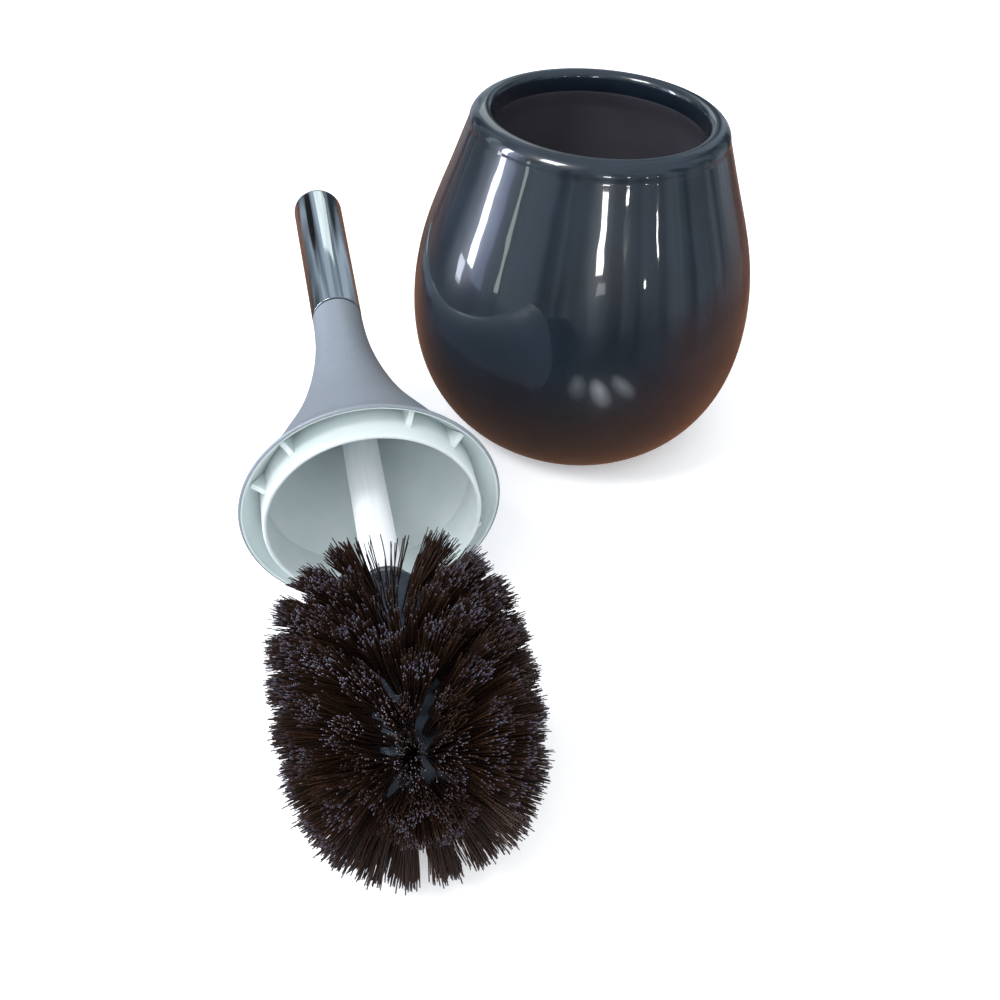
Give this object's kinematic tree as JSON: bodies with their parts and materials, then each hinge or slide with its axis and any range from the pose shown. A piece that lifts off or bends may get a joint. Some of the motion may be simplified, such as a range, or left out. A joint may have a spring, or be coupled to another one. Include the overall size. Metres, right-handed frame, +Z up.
{
  "type": "toilet brush holder",
  "caption": "Egg-shaped glazed pot with its toilet brush lying beside it: trumpet lid with a locating ring, short chrome handle, stem and round tufted head.",
  "frame": {"origin": "centre of the pot's flat foot, on the floor", "axes": "+Z up along the pot's axis; the brush lies on the floor on the -X side with its head towards -Y and its handle towards +Y"},
  "size_m": [0.1892, 0.3162, 0.13],
  "materials": {
    "pot_glaze": "gloss",
    "lid_silver": "satin",
    "lid_inner": "satin",
    "stem_white": "satin",
    "handle_chrome": "polished",
    "plug_plastic": "matte",
    "seal_rubber": "matte",
    "hub_slate": "satin",
    "bristle_dark": "satin"
  },
  "bodies": {
    "pot": {"pot_body": "pot_glaze"},
    "brush": {"lid_shell": "lid_silver", "lid_ring": "lid_inner", "lid_ribs": "lid_inner", "stem_tube": "stem_white", "stem_stud": "stem_white", "stem_spigot": "stem_white"},
    "handle_washer": {"handle_seal": "seal_rubber"},
    "handle": {"handle_sleeve": "handle_chrome", "handle_plug": "plug_plastic"},
    "head_washer": {"head_seal": "seal_rubber"},
    "head": {"head_hub": "hub_slate", "head_nut": "plug_plastic", "tufts_row_01": "bristle_dark", "tufts_row_02": "bristle_dark", "tufts_row_03": "bristle_dark", "tufts_row_04": "bristle_dark", "tufts_row_05": "bristle_dark", "tufts_row_06": "bristle_dark", "tufts_row_07": "bristle_dark", "tufts_row_08": "bristle_dark", "tufts_row_09": "bristle_dark", "tufts_row_10": "bristle_dark", "tufts_crown": "bristle_dark"}
  },
  "joints": [
    {"name": "brush_lift", "type": "slide", "parent": "pot", "child": "brush", "axis": [0, 0, 1], "range_m": [0, 0.3]},
    {"name": "handle_travel", "type": "slide", "parent": "brush", "child": "handle_washer", "axis": [-0.2501, 0.9672, 0.0454], "range_m": [0, 0.012]},
    {"name": "handle_turn", "type": "hinge", "parent": "handle_washer", "child": "handle", "pos_m": [-0.0657, -0.1239, 0.04201], "axis": [-0.2501, 0.9672, 0.0454], "range_deg": [0, 1440]},
    {"name": "head_travel", "type": "slide", "parent": "brush", "child": "head_washer", "axis": [0.2501, -0.9672, -0.0454], "range_m": [0, 0.012]},
    {"name": "head_turn", "type": "hinge", "parent": "head_washer", "child": "head", "pos_m": [-0.0657, -0.1239, 0.04201], "axis": [0.2501, -0.9672, -0.0454], "range_deg": [0, 1440]}
  ],
  "couplings": [
    {"joint": "handle_travel", "follows": "handle_turn", "m_per_rad": 0.00047746},
    {"joint": "head_travel", "follows": "head_turn", "m_per_rad": 0.00047746}
  ]
}
